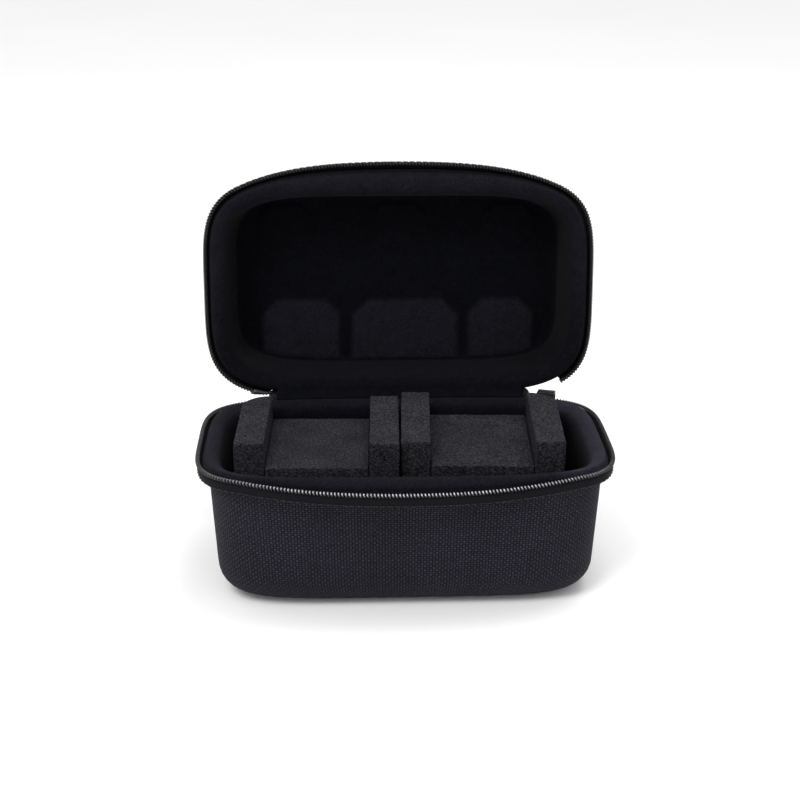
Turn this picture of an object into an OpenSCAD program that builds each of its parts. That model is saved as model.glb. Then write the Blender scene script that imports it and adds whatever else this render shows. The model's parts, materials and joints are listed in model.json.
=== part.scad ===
// Zip-up hard carry case for tabletop miniatures: a moulded EVA base and lid in woven fabric,
// a coil zipper round three sides, a fabric hinge at the back and two loose foam cradles.
// Origin: middle of the base's flat bottom, +Z up, +Y towards the hinge. Millimetres.

/* [Case outline] */
// Width over the zipper, left to right
case_w = 182; // [160:1:220]
// Depth over the zipper, front to back
case_d = 107; // [100:1:130]
// Height of the base zipper line above the bottom
base_h = 62; // [50:1:80]
// Height of the lid top above the lid zipper line
lid_h = 36; // [30:1:50]
// Roundness of the zipper outline, 2 is an ellipse and large is a rectangle
rim_power = 4.4; // [3.5:0.1:6]
// Roundness of the body below the zipper flange
body_power = 5.2; // [4:0.1:7]
// How far the body stands inside the zipper line
top_inset = 4.56; // [4:0.02:6]
// Draft of the moulded walls, sideways per unit of height
draft = 0.057; // [0:0.001:0.09]
// Corner radius between the bottom and the walls of the base
base_fillet = 15.7; // [12:0.1:20]
// Corner radius between the top and the walls of the lid
lid_fillet = 10; // [9:0.1:14]

/* [Layers] */
// Thickness of the woven outer fabric
fabric_t = 0.8; // [0.6:0.1:1.2]
// Thickness of the moulded EVA foam shell
eva_t = 5.2; // [4:0.1:6]
// Thickness of the knitted lining
lining_t = 0.7; // [0.5:0.1:1]

/* [Lid] */
// Angle from closed at which the lid stands in the rest position
open_angle = 96.3; // [80:0.1:105]
// How far the soft front of the rim bellies outward
bow_out = 4.5; // [0:0.1:6]
// How far the soft front of the rim sags away from the closing plane
bow_drop = 3; // [0:0.1:4]
// Height of the moulded pads inside the lid
pad_t = 2.2; // [1:0.1:3]

/* [Foam cradles] */
// Width of one cradle over both side bars
cradle_w = 72; // [66:0.5:72]
// Front to back length of one cradle
cradle_l = 61; // [50:0.5:61]
// Width of each side bar
bar_w = 13.2; // [10:0.1:16]
// How far the bars rise above the zipper line
bar_rise = 8; // [4:0.5:12]
// How far the bars stand above the cradle floor
well_depth = 11.4; // [6:0.1:20]
// Thickness of the loose foam pad in the bottom of the base
pad_foam_t = 12; // [8:1:20]

/* [Hidden] */

// The closing plane lies this far above the zipper line
mate = 2.3;
// The hinge line runs along X at the back, on the closing plane
hinge_inset = 2.4;
hinge_y = case_d / 2 - hinge_inset;
hinge_z = base_h + mate;

// Points round a full ring, and how strongly they gather in the corners
ring_n = 48;
corner_pull = 0.45;
// Plan angles at which the zipper ends: right rear, left rear, and the lid's half before the slider
zip_end = 60;
zip_far_end = zip_end - 300;
lid_zip_start = 45;
// The coils end one ring before the tapes do, where the stops sit
coil_far_end = zip_far_end + 360 / ring_n;
// Everything above this height belongs to the flange
flange_low = -8;
// At the back the flange is pressed flat in front of the hinge line, down to this inset
press_depth = 4.95;
press_gap = 0.3;
zip_outer = -1.5;
press_slope = (hinge_y - press_gap - case_d / 2 + press_depth) / (press_depth - zip_outer);
// The bow reaches this share of the half width and fades out this far inside the rim
bow_reach = 0.8;
bow_fade = 7;

// Depths of the three layers measured in from the outer face
in_1 = fabric_t;
in_2 = in_1 + eva_t;
in_3 = in_2 + lining_t;

fabric_colour = "#1d1d27";
eva_colour = "#26262b";
lining_colour = "#121216";
tape_colour = "#1b1b22";
coil_colour = "#8e9096";
metal_colour = "#6d7076";
foam_colour = "#3a3a3e";

function clamp01(v) = min(1, max(0, v));
function reversed(v) = [for (i = [len(v) - 1 : -1 : 0]) v[i]];
function gather(phi) = phi + corner_pull * sin(4 * phi) / 4 * 180 / PI;

// A point of the superellipse with half sizes a and b, at the scaled polar angle t
function super(a, b, p, t) =
    let (c = cos(t), s = sin(t), r = pow(pow(abs(c), p) + pow(abs(s), p), -1 / p))
    [a * c * r, b * s * r];

// The furthest back that a point of the flange may lie
function press_limit(inset) =
    inset < press_depth ? hinge_y - press_gap - press_slope * (inset - zip_outer) : case_d;

// Share of the bow at a point of the rim
function bow_share(x, y, inset) =
    y < 0
        ? pow(-y / (case_d / 2 - inset), 8) * clamp01(1 - pow(x / (case_w / 2 * bow_reach), 2))
          * clamp01(1 - inset / bow_fade)
        : 0;

// A point of the case at plan angle phi, a distance in from the zipper line and a height over it
function case_point(phi, inset, z) =
    let (
        flange = z > flange_low,
        power = flange && inset < top_inset ? rim_power : body_power,
        p = super(case_w / 2 - inset, case_d / 2 - inset, power, gather(phi)),
        bow = flange ? bow_share(p[0], p[1], inset) : 0
    )
    [
        p[0],
        flange ? min(p[1], press_limit(inset)) - bow_out * bow : p[1],
        z - bow_drop * bow
    ];

function wall_inset(z) = top_inset - draft * z;
function wall_at(z, in) = [wall_inset(z) + in, z];
function fillet_rings(h, r, in) = [
    for (a = [0 : 30 : 90])
        [wall_inset(r - h) + in + (r - in) * (1 - sin(a)), in - h + (r - in) * (1 - cos(a))]
];
// From the middle of the bottom up to the top of the plain wall
wall_top = -20;
function wall_rings(h, r, in) = concat(fillet_rings(h, r, in), [wall_at(wall_top, in)]);

// Rim profiles as [inset, height over the zipper line]
fabric_edge_out = [[4.95, -7], [3.6, -6], [1.6, -5.4]];
fabric_edge_in = [[1.6, -4.7], [4, -5.2], [5.7, -6.4]];
eva_rim = [[1.9, -2.5], [3.3, -1], [3.6, 0.4], [5, 1.2], [7.4, 0.4], [9.7, -2.4]];
lining_rim = [[1.9, -1.8], [2.6, -0.8], [2.9, 0.8], [4.7, 1.95], [7.9, 1.1], [10.5, -2.1]];
tape_section = [
    [1.6, -5.9], [0.2, -5.4], [0.05, -4.85], [-0.1, -4.3], [-0.35, -3.4], [-0.35, -1],
    [0.35, -1], [0.35, -3.2], [1.6, -4.6]
];
coil_section = [[-0.7, -1], [-1.1, -0.4], [-0.7, 1.2], [0.7, 1.2], [1.1, -0.4], [0.7, -1]];
thread_section = [[0.05, -4.85], [-0.35, -4.95], [-0.5, -4.4], [-0.1, -4.3]];
stop_section = [[-0.7, -1], [-1.5, -0.4], [-1.5, 1.6], [1.5, 1.6], [1.5, -0.4], [0.7, -1]];

// Two triangles between the points a and b of one ring and the points c and d of the next. The cut
// depends on the two profile points alone, so that faces which two layers share are cut alike.
function rank(v) = v[1] + 0.31 * v[0];
function panel(a, b, c, d, straight) = straight ? [[a, c, d], [a, d, b]] : [[a, c, b], [b, c, d]];
// Triangles across a strip-like section of m points, from its two ends of the list inwards
function ladder(m) = [
    for (k = [0 : m - 3])
        let (i = floor(k / 2))
        k % 2 == 0 ? [i, i + 1, m - 1 - i] : [i + 1, m - 2 - i, m - 1 - i]
];

// Closed cup: rings from the middle of the outside to the middle of the inside
module cup(rings) {
    count = len(rings);
    points = [for (r = rings) for (i = [0 : ring_n - 1]) case_point(360 * i / ring_n, r[0], r[1])];
    sides = [
        for (k = [0 : count - 2]) for (i = [0 : ring_n - 1])
            let (a = k * ring_n + i, b = k * ring_n + (i + 1) % ring_n)
            each panel(a, b, a + ring_n, b + ring_n, rank(rings[k]) < rank(rings[k + 1]))
    ];
    first = [for (i = [0 : ring_n - 1]) i];
    last = [for (i = [ring_n - 1 : -1 : 0]) (count - 1) * ring_n + i];
    polyhedron(points, concat([first], sides, [last]));
}

// Closed strip: a section swept round part of the rim, with its rings at the given falling angles
module swept(section, angles) {
    m = len(section);
    last = len(angles) - 1;
    points = [for (phi = angles) for (s = section) case_point(phi, s[0], s[1])];
    sides = [
        for (k = [0 : last - 1]) for (j = [0 : m - 1])
            let (n = (j + 1) % m, a = k * m + j, b = k * m + n)
            each panel(a, b, a + m, b + m, rank(section[n]) < rank(section[j]))
    ];
    caps = [for (f = ladder(m)) each [f, [for (v = reversed(f)) last * m + v]]];
    polyhedron(points, concat(sides, caps));
}

// The strip between the angles f and t, its rings where the shells have theirs
ring_step = 360 / ring_n;
module band(section, f, t)
    swept(section, [for (k = [0 : round((f - t) / ring_step)]) f - k * ring_step]);

module shell_fabric(h, r)
    cup(concat(wall_rings(h, r, 0), fabric_edge_out, fabric_edge_in, reversed(wall_rings(h, r, in_1))));

module shell_eva(h, r)
    cup(concat(wall_rings(h, r, in_1), reversed(fabric_edge_in), eva_rim, reversed(wall_rings(h, r, in_2))));

module shell_lining(h, r)
    cup(concat(wall_rings(h, r, in_2), reversed(eva_rim), lining_rim, reversed(wall_rings(h, r, in_3))));

// Places a half that is drawn about its own zipper line
module on_base() translate([0, 0, base_h]) children();
module on_lid()
    translate([0, hinge_y, hinge_z]) rotate([-open_angle, 0, 0])
        translate([0, -hinge_y, mate]) mirror([0, 0, 1]) children();

// One leg of the fabric hinge, lying on the outside of a half
// and a hair clear of the cover, to which its edges are sewn
leg_clear = 0.1;
hinge_leg = [
    wall_at(wall_top, -0.9), [4, -7.6], [1, -6.6], [-1.9, -5.6], [-1.9, mate],
    [-0.3, mate], [1.6 - leg_clear, -5.4 - leg_clear], [3.6 - leg_clear, -6 - leg_clear],
    [4.95 - leg_clear, -7 - leg_clear], wall_at(wall_top, -leg_clear)
];

module base_outer_fabric() color(fabric_colour) on_base() shell_fabric(base_h, base_fillet);
module base_eva_shell() color(eva_colour) on_base() shell_eva(base_h, base_fillet);
module base_lining() color(lining_colour) on_base() shell_lining(base_h, base_fillet);
module base_zipper_tape() color(tape_colour) on_base() band(tape_section, zip_end, zip_far_end);
module base_zipper_coil() color(coil_colour) on_base() band(coil_section, zip_end, coil_far_end);
module base_tape_stitching() color(fabric_colour) on_base() band(thread_section, zip_end, zip_far_end);

module lid_outer_fabric() color(fabric_colour) on_lid() shell_fabric(lid_h, lid_fillet);
module lid_eva_shell() color(eva_colour) on_lid() shell_eva(lid_h, lid_fillet);
module lid_zipper_tape() color(tape_colour) on_lid() band(tape_section, lid_zip_start, zip_far_end);
module lid_zipper_coil() color(coil_colour) on_lid() band(coil_section, lid_zip_start, coil_far_end);
module lid_tape_stitching() color(fabric_colour) on_lid() band(thread_section, lid_zip_start, zip_far_end);

// One pad of the moulded relief inside the lid, with cut corners
module relief_pad(x, y, w, l, cut) {
    sunk = lining_t / 2;
    translate([x, y, in_3 - lid_h - sunk])
        linear_extrude(pad_t + sunk)
            polygon([
                [-w / 2 + cut, -l / 2], [w / 2 - cut, -l / 2], [w / 2, -l / 2 + cut], [w / 2, l / 2 - cut],
                [w / 2 - cut, l / 2], [-w / 2 + cut, l / 2], [-w / 2, l / 2 - cut], [-w / 2, -l / 2 + cut]
            ]);
}

module lid_lining() color(lining_colour) on_lid() {
    shell_lining(lid_h, lid_fillet);
    // The row beside the hinge, then the row at the front of the lid
    relief_pad(-47, 23.6, 38, 26, 7);
    relief_pad(4, 23.6, 52, 26, 8);
    relief_pad(52, 23.6, 34, 26, 7);
    for (x = [-54, 0, 54])
        relief_pad(x, -26.4, x == 0 ? 30 : 26, 20, 6);
}

// Moulded clips on the open ends of the zipper, at the left rear
stop_gap = 1;
module zipper_stop() color(metal_colour) swept(stop_section, [coil_far_end - stop_gap, zip_far_end]);
module base_zipper_stop() on_base() zipper_stop();
module lid_zipper_stop() on_lid() zipper_stop();

// The strip folds about the hinge line in a small roll that joins its two legs
hinge_fold_r = 0.9;
hinge_fold_l = 114;
// The strip stops a little short of the zipper tapes
hinge_gap = 2.2;
hinge_angles = concat(
    [180 - zip_end - hinge_gap],
    [for (k = [1 : 7]) 180 - zip_end - k * ring_step],
    [zip_end + hinge_gap]
);
module hinge_strip() color(fabric_colour) {
    on_base() swept(hinge_leg, hinge_angles);
    on_lid() swept(hinge_leg, hinge_angles);
    translate([-hinge_fold_l / 2, hinge_y, hinge_z]) rotate([0, 90, 0])
        cylinder(r = hinge_fold_r, h = hinge_fold_l, $fn = 32);
}

// Lining that bridges the gap between the two rims in front of the hinge line
bridge_section = [[4.7, 1.97], [-1.4, 4.1], [-0.9, 4.7], [5.4, 2.35]];
module hinge_lining() color(lining_colour) on_base() band(bridge_section, 180 - zip_end, zip_end);

// The slider is parked on the base coil just before its right rear end
slider_angle = 50;
slider_at = super(case_w / 2, case_d / 2, rim_power, slider_angle);
slider_next = super(case_w / 2, case_d / 2, rim_power, slider_angle + 1);
slider_turn = atan2(slider_next[1] - slider_at[1], slider_next[0] - slider_at[0]) + 180;
slider_l = 8.4;
slider_low = -3.4;
slider_high = 4;
slider_out = 2.5;
slider_in = 2.35;
plate_t = 0.9;
inner_plate_t = 0.55;
bail_r = 1.6;
bail_wire = 0.5;
bail_y = slider_out + bail_r - bail_wire;
pull_drop = 22;
pull_w = 5.6;
pull_t = 1.2;

// Draws about the slider's own place: X along the coil, Y outwards, Z over the zipper line
module at_slider()
    translate([slider_at[0], slider_at[1], base_h]) rotate([0, 0, slider_turn]) children();

module slider_body() color(metal_colour) at_slider() {
    translate([-slider_l / 2, slider_out - plate_t, slider_low])
        cube([slider_l, plate_t, slider_high - slider_low]);
    translate([-slider_l / 2, -slider_in, -0.8])
        cube([slider_l, inner_plate_t, slider_high + 0.8]);
    translate([-slider_l / 2, -slider_in, slider_high - plate_t])
        cube([slider_l, slider_in + slider_out, plate_t]);
    // The bail is a half ring of wire on the outer plate, in the plane across the coil
    difference() {
        translate([-bail_wire, slider_out, 0]) rotate([0, 90, 0])
            difference() {
                cylinder(r = bail_r + bail_wire, h = 2 * bail_wire, $fn = 48);
                translate([0, 0, -1]) cylinder(r = bail_r - bail_wire, h = 2 * bail_wire + 2, $fn = 48);
            }
        translate([-2, -5, -5]) cube([4, 5 + slider_out - plate_t / 2, 10]);
    }
}

// The tab hangs in the bail by a slot: a plate with a cross bar inside the ring
module pull_tab() color(metal_colour) at_slider() translate([0, slider_out + 0.55, -0.2]) {
    translate([-pull_w / 2, 0, 0]) rotate([0, 90, 0]) cylinder(r = 0.35, h = pull_w, $fn = 32);
    for (side = [-1, 1])
        translate([side * (pull_w / 2 - 0.6) - 0.6, -0.35, -6]) cube([1.2, 0.7, 6]);
    translate([-pull_w / 2, -0.35, -pull_drop]) cube([pull_w, pull_t, pull_drop - 5]);
}

// Foam
foam_clear = 0.3;
foam_low = in_3 - base_h + foam_clear;
pad_top = foam_low + pad_foam_t;
cradle_gap = 1;
cradle_low = pad_top + 0.7;
cradle_y = [5.2, 6.8];
corner_r = 13;
cradle_turn = [-1.6, -2.4];
right_pitch = 1;

function foam_floor() = bar_rise - well_depth;

module bottom_foam_pad() color(foam_colour) on_base()
    translate([0, 0, foam_low]) linear_extrude(pad_foam_t - foam_clear)
        polygon([for (i = [0 : 2 * ring_n - 1])
            super(case_w / 2 - 25, case_d / 2 - 25, body_power, gather(180 * i / ring_n))]);

// Draws a cradle about its own middle, side -1 on the left and 1 on the right
module on_cradle(side) on_base()
    translate([side * (cradle_w + cradle_gap) / 2 - 1.6, cradle_y[side > 0 ? 1 : 0], 0])
        rotate([side > 0 ? right_pitch : 0, 0, cradle_turn[side > 0 ? 1 : 0]])
            children();

module cradle_floor(side)
    on_cradle(side)
        translate([-cradle_w / 2 + bar_w, -cradle_l / 2, cradle_low])
            cube([cradle_w - 2 * bar_w, cradle_l, foam_floor() - cradle_low]);

// The bar beside the other cradle is square, the one by the wall has a round rear corner
module inner_bar(side)
    on_cradle(side)
        translate([side > 0 ? -cradle_w / 2 : cradle_w / 2 - bar_w, -cradle_l / 2, cradle_low])
            cube([bar_w, cradle_l, bar_rise - cradle_low]);

module outer_bar(side)
    on_cradle(side)
        translate([side * (cradle_w - bar_w) / 2, 0, cradle_low])
            linear_extrude(bar_rise - cradle_low) {
                translate([-bar_w / 2, -cradle_l / 2]) square([bar_w, cradle_l - corner_r]);
                translate([-side * bar_w / 2, cradle_l / 2 - corner_r])
                    intersection() {
                        circle(r = corner_r, $fn = 96);
                        translate([side > 0 ? 0 : -corner_r, 0]) square(corner_r);
                    }
            }

module left_cradle_floor() color(foam_colour) cradle_floor(-1);
module left_cradle_outer_bar() color(foam_colour) outer_bar(-1);
module left_cradle_inner_bar() color(foam_colour) inner_bar(-1);
module right_cradle_floor() color(foam_colour) cradle_floor(1);
module right_cradle_outer_bar() color(foam_colour) outer_bar(1);
module right_cradle_inner_bar() color(foam_colour) inner_bar(1);

base_outer_fabric();
base_eva_shell();
base_lining();
base_zipper_tape();
base_zipper_coil();
base_tape_stitching();
base_zipper_stop();
lid_outer_fabric();
lid_eva_shell();
lid_lining();
lid_zipper_tape();
lid_zipper_coil();
lid_tape_stitching();
lid_zipper_stop();
hinge_strip();
hinge_lining();
slider_body();
pull_tab();
bottom_foam_pad();
left_cradle_floor();
left_cradle_outer_bar();
left_cradle_inner_bar();
right_cradle_floor();
right_cradle_outer_bar();
right_cradle_inner_bar();
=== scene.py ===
"""Zip-up hard carry case for tabletop miniatures, shown open.

A deep base and a shallow lid of moulded foam, each with woven fabric outside and a soft lining inside,
meet in a coil zipper and a fabric hinge. Two loose foam cradles stand in the base.
All lengths are in metres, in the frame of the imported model.
"""

import json
import logging
import math
from dataclasses import dataclass, field
from enum import Enum
from functools import cache
from typing import Any, Sequence

import bmesh
import bpy
import numpy as np
from mathutils import Matrix, Vector

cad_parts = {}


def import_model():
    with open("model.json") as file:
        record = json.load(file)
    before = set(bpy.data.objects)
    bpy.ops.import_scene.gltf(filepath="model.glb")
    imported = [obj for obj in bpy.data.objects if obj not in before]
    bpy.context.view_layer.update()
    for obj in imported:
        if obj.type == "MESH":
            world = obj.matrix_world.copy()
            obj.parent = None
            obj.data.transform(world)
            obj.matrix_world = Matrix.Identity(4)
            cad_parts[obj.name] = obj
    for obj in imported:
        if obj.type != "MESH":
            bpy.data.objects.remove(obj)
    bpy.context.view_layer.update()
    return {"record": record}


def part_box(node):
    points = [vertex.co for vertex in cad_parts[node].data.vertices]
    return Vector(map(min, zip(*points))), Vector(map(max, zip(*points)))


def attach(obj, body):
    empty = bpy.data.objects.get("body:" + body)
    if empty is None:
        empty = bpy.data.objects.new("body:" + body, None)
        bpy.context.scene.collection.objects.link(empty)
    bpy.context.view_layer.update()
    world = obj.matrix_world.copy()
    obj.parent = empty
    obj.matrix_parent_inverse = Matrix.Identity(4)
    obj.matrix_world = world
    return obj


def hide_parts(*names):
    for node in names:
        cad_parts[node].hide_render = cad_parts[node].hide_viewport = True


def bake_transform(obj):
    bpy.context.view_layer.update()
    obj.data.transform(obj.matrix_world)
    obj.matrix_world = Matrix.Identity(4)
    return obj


LOG = logging.getLogger("carry_case")
MM = 0.001
WALL_TOP = -20 * MM  # height of the plain wall's top ring, under the zipper line
SMALL_ANGLE = 0.002  # radians, for directions along the rim
CLOTH = "cloth"  # name of the cloth coordinates
PAINTED_HIGHLIGHT = "brushed"  # name of the attribute that holds where painted highlights fall
SWAP_YZ = Matrix(((1, 0, 0, 0), (0, 0, 1, 0), (0, 1, 0, 0), (0, 0, 0, 1)))

Profile = list[tuple[float, float]]
Colour = tuple[float, float, float, float]


# ---------------------------------------------------------------- outline


def superellipse(a: Any, b: Any, power: Any, t: Any) -> tuple[Any, Any]:
    """Points of a superellipse at scaled polar angles, from numbers or arrays.

    Args:
        a: Half width.
        b: Half depth.
        power: 2 for an ellipse, large for a rectangle.
        t: Angle in radians.

    Returns:
        x and y.
    """
    c, s = np.cos(t), np.sin(t)
    r = (np.abs(c) ** power + np.abs(s) ** power) ** (-1.0 / power)
    return a * c * r, b * s * r


@dataclass
class CaseForm:
    """The rule that every shell, tape and seam of the case follows, in one half's own frame.

    A place on the case is a plan angle, a distance in from the zipper line and a height over it.
    """

    half_width: float
    half_depth: float
    hinge_y: float
    hinge_z: float
    mate: float = 2.3 * MM
    rim_power: float = 4.4
    body_power: float = 5.2
    top_inset: float = 4.56 * MM
    draft: float = 0.057
    bow_out: float = 4.5 * MM
    bow_drop: float = 3.0 * MM
    bow_reach: float = 0.8
    bow_fade: float = 7.0 * MM
    flange_low: float = -8.0 * MM
    press_depth: float = 4.95 * MM
    press_gap: float = 0.3 * MM
    zip_outer: float = -1.5 * MM
    corner_pull: float = 0.45

    def place(self, phi: np.ndarray, inset: float | np.ndarray, z: float | np.ndarray) -> np.ndarray:
        """Points of the case.

        Args:
            phi: Plan angles in radians, from +X towards the hinge.
            inset: Distances in from the zipper line.
            z: Heights over the zipper line.

        Returns:
            An array of points, its last axis x, y, z.
        """
        phi, inset, z = np.broadcast_arrays(*(np.asarray(v, float) for v in (phi, inset, z)))
        t = phi + self.corner_pull * np.sin(4 * phi) / 4
        flange = z > self.flange_low
        power = np.where(flange & (inset < self.top_inset), self.rim_power, self.body_power)
        x, y = superellipse(self.half_width - inset, self.half_depth - inset, power, t)
        back = self.hinge_y - self.press_gap
        slope = (back - self.half_depth + self.press_depth) / (self.press_depth - self.zip_outer)
        limit = back - slope * (inset - self.zip_outer)
        y = np.where(flange & (inset < self.press_depth), np.minimum(y, limit), y)
        front = np.clip(-y / (self.half_depth - inset), 0, 1) ** 8
        middle = np.clip(1 - (x / (self.half_width * self.bow_reach)) ** 2, 0, 1)
        bow = np.where(flange, front * middle * np.clip(1 - inset / self.bow_fade, 0, 1), 0)
        return np.stack([x, y - self.bow_out * bow, z - self.bow_drop * bow], -1)

    def wall_inset(self, z: float) -> float:
        """Distance of the outer wall in from the zipper line at a height."""
        return self.top_inset - self.draft * z

    def outward(self, phi: np.ndarray) -> np.ndarray:
        """Level unit vectors that point out of the rim at plan angles."""
        d = self.place(phi + SMALL_ANGLE, 0.0, 0.0) - self.place(phi - SMALL_ANGLE, 0.0, 0.0)
        out = np.stack([d[..., 1], -d[..., 0], np.zeros(d.shape[:-1])], -1)
        return out / np.linalg.norm(out, axis=-1, keepdims=True)


def rounded(rows: np.ndarray, rounds: int = 2, closed: bool = False) -> np.ndarray:
    """Cuts the corners of a profile whose every place is a row of points.

    Args:
        rows: Rows of points, one row for each corner of the profile.
        rounds: How many times the corners are cut.
        closed: Whether the last row joins the first.

    Returns:
        More rows, the same at both ends if the profile is open.
    """
    for _ in range(rounds):
        ahead = np.roll(rows, -1, axis=0) if closed else rows[1:]
        here = rows if closed else rows[:-1]
        cut = np.stack([0.75 * here + 0.25 * ahead, 0.25 * here + 0.75 * ahead], 1)
        cut = cut.reshape(-1, *rows.shape[1:])
        rows = cut if closed else np.concatenate([rows[:1], cut, rows[-1:]])
    return rows


def subdivided(rows: np.ndarray, longest: float) -> np.ndarray:
    """Adds rows between neighbours that are far apart.

    Args:
        rows: Rows of points.
        longest: Largest mean distance left between two rows.

    Returns:
        The old rows and the new ones, in order.
    """
    out = [rows[:1]]
    for a, b in zip(rows[:-1], rows[1:]):
        steps = max(1, int(np.ceil(np.linalg.norm(b - a, axis=-1).mean() / longest)))
        share = (np.arange(1, steps + 1) / steps)[:, None, None]
        out.append(a + (b - a) * share)
    return np.concatenate(out)


def in_mm(*points: tuple[float, float]) -> Profile:
    """A profile given in millimetres, in metres."""
    return [(a * MM, b * MM) for a, b in points]


# ---------------------------------------------------------------- meshes


def linked(name: str, mesh: bpy.types.Mesh) -> bpy.types.Object:
    """A new object for a mesh, in the scene."""
    obj = bpy.data.objects.new(name, mesh)
    bpy.context.collection.objects.link(obj)
    return obj


def from_bmesh(name: str, bm: bmesh.types.BMesh) -> bpy.types.Object:
    """Turns a bmesh into a smooth object in the scene, and frees it."""
    mesh = bpy.data.meshes.new(name)
    bm.to_mesh(mesh)
    bm.free()
    mesh.shade_smooth()
    return linked(name, mesh)


def run_length(points: np.ndarray) -> np.ndarray:
    """Distance along a row of points, from 0."""
    return np.concatenate([[0.0], np.cumsum(np.linalg.norm(np.diff(points, axis=0), axis=1))])


def cloth_map(points: np.ndarray, cup: bool, seam_row: int) -> np.ndarray:
    """Cloth coordinates in metres: along the rim, and along the profile.

    Args:
        points: Rows of points, as for skin.
        cup: As for skin.
        seam_row: As for skin.

    Returns:
        Coordinates for every row and column, with one more of those that close.
    """
    row = points[seam_row]
    u = run_length(np.concatenate([row, row[:1]]) if cup else row)
    rows = points if cup else np.concatenate([points, points[:1]])
    v = np.concatenate([[0.0], np.cumsum(np.linalg.norm(np.diff(rows, axis=0), axis=2).mean(1))])
    return np.stack(np.meshgrid(u, v), -1)


def skin(name: str, points: np.ndarray, cup: bool, seam_row: int = 0) -> bpy.types.Object:
    """A closed quad mesh over rows of points, with its own cloth coordinates.

    Args:
        name: Name of the object.
        points: Rows of points, rows along the profile and columns along the rim.
        cup: Whether the columns close, as on a cup. Otherwise the rows close, as on a band.
        seam_row: The row whose length the cloth keeps.

    Returns:
        The object, with its first and last row filled on a cup, or column on a band.
    """
    rows, cols = points.shape[:2]
    uv = cloth_map(points, cup, seam_row)
    rr, cc = np.meshgrid(np.arange(rows - cup), np.arange(cols - (not cup)), indexing="ij")
    r2, c2 = (rr + 1) % rows, (cc + 1) % cols
    corners = np.stack([rr * cols + cc, rr * cols + c2, r2 * cols + c2, r2 * cols + cc], -1).reshape(-1, 4)
    loops = np.stack([uv[rr, cc], uv[rr, cc + 1], uv[rr + 1, cc + 1], uv[rr + 1, cc]], 2).reshape(-1, 2)
    verts = points.reshape(-1, 3)
    faces, loops = corners.tolist(), loops.tolist()
    index = np.arange(rows * cols).reshape(rows, cols)
    for cap in (index[0][::-1], index[-1]) if cup else (index[:, 0], index[:, -1][::-1]):
        faces.append(cap.tolist())
        side = verts[cap][:, 1:] - verts[cap][:, 1:].mean(0)
        far = side[np.linalg.norm(side, axis=1).argmax()]
        loops.extend(np.stack([verts[cap][:, 0], side @ far / np.linalg.norm(far)], 1).tolist())
    a, b, c, d = (verts[corners[:, k]] for k in range(4))
    volume = (a * (np.cross(b, c) + np.cross(c, d))).sum()
    mesh = bpy.data.meshes.new(name)
    mesh.from_pydata(verts.tolist(), [], faces)
    mesh.uv_layers.new(name=CLOTH).data.foreach_set("uv", np.array(loops, np.float32).ravel())
    if volume < 0:
        mesh.flip_normals()
    mesh.shade_smooth()
    mesh.validate()
    return linked(name, mesh)


def join_objects(name: str, parts: Sequence[bpy.types.Object]) -> bpy.types.Object:
    """Joins mesh objects into one, and removes them."""
    bm = bmesh.new()
    for part in parts:
        bm.from_mesh(part.data)
        bpy.data.objects.remove(part)
    return from_bmesh(name, bm)


def shifted(obj: bpy.types.Object, by: Sequence[float]) -> bpy.types.Object:
    """The same object, its mesh moved."""
    obj.data.transform(Matrix.Translation(by))
    return obj


def spread(length: float, edge: float, coarse: float) -> np.ndarray:
    """Places along a side, close together near both ends.

    Args:
        length: Length of the side.
        edge: Radius of the rounded edge at each end.
        coarse: Largest step between the edges.

    Returns:
        Rising values from 0 to length.
    """
    near = edge * np.array([0, 0.3, 0.6])
    inner = np.linspace(edge, length - edge, max(2, int((length - 2 * edge) / coarse) + 1))
    return np.concatenate([near, inner, length - near[::-1]])


def rounded_block(name: str, size: Sequence[float], edge: float) -> bpy.types.Object:
    """A box with rounded edges, in small faces, its lowest corner at the origin.

    Args:
        name: Name of the object.
        size: Lengths along x, y and z.
        edge: Radius of the edges.

    Returns:
        The object.
    """
    bm = bmesh.new()
    steps = [spread(length, edge, 2.5 * MM) for length in size]
    for axis in range(3):
        u, v = [k for k in range(3) if k != axis]
        for side in (0.0, size[axis]):
            grid = []
            for p in steps[u]:
                places = [{axis: side, u: p, v: q} for q in steps[v]]
                grid.append([bm.verts.new([co[k] for k in range(3)]) for co in places])
            for low, high in zip(grid[:-1], grid[1:]):
                for j in range(len(low) - 1):
                    bm.faces.new((low[j], high[j], high[j + 1], low[j + 1]))
    bmesh.ops.remove_doubles(bm, verts=bm.verts, dist=1e-6)
    for vert in bm.verts:
        core = Vector([min(max(c, edge), length - edge) for c, length in zip(vert.co, size)])
        away = vert.co - core
        if away.length > 1e-9:
            vert.co = core + away.normalized() * edge
    bmesh.ops.recalc_face_normals(bm, faces=bm.faces)
    return from_bmesh(name, bm)


def vertices_of(obj: bpy.types.Object) -> np.ndarray:
    """The vertices of a mesh object as an array."""
    co = np.empty(len(obj.data.vertices) * 3, np.float32)
    obj.data.vertices.foreach_get("co", co)
    return co.reshape(-1, 3).astype(float)


def set_vertices(obj: bpy.types.Object, co: np.ndarray) -> None:
    """Writes an array back to a mesh object's vertices."""
    obj.data.vertices.foreach_set("co", co.astype(np.float32).ravel())
    obj.data.update()


def store_painted_highlight(obj: bpy.types.Object, values: np.ndarray) -> None:
    """Stores how strongly each vertex takes the painted highlight, from 0 to 1."""
    data = values.astype(np.float32).ravel()
    obj.data.attributes.new(PAINTED_HIGHLIGHT, "FLOAT", "POINT").data.foreach_set("value", data)


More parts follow.
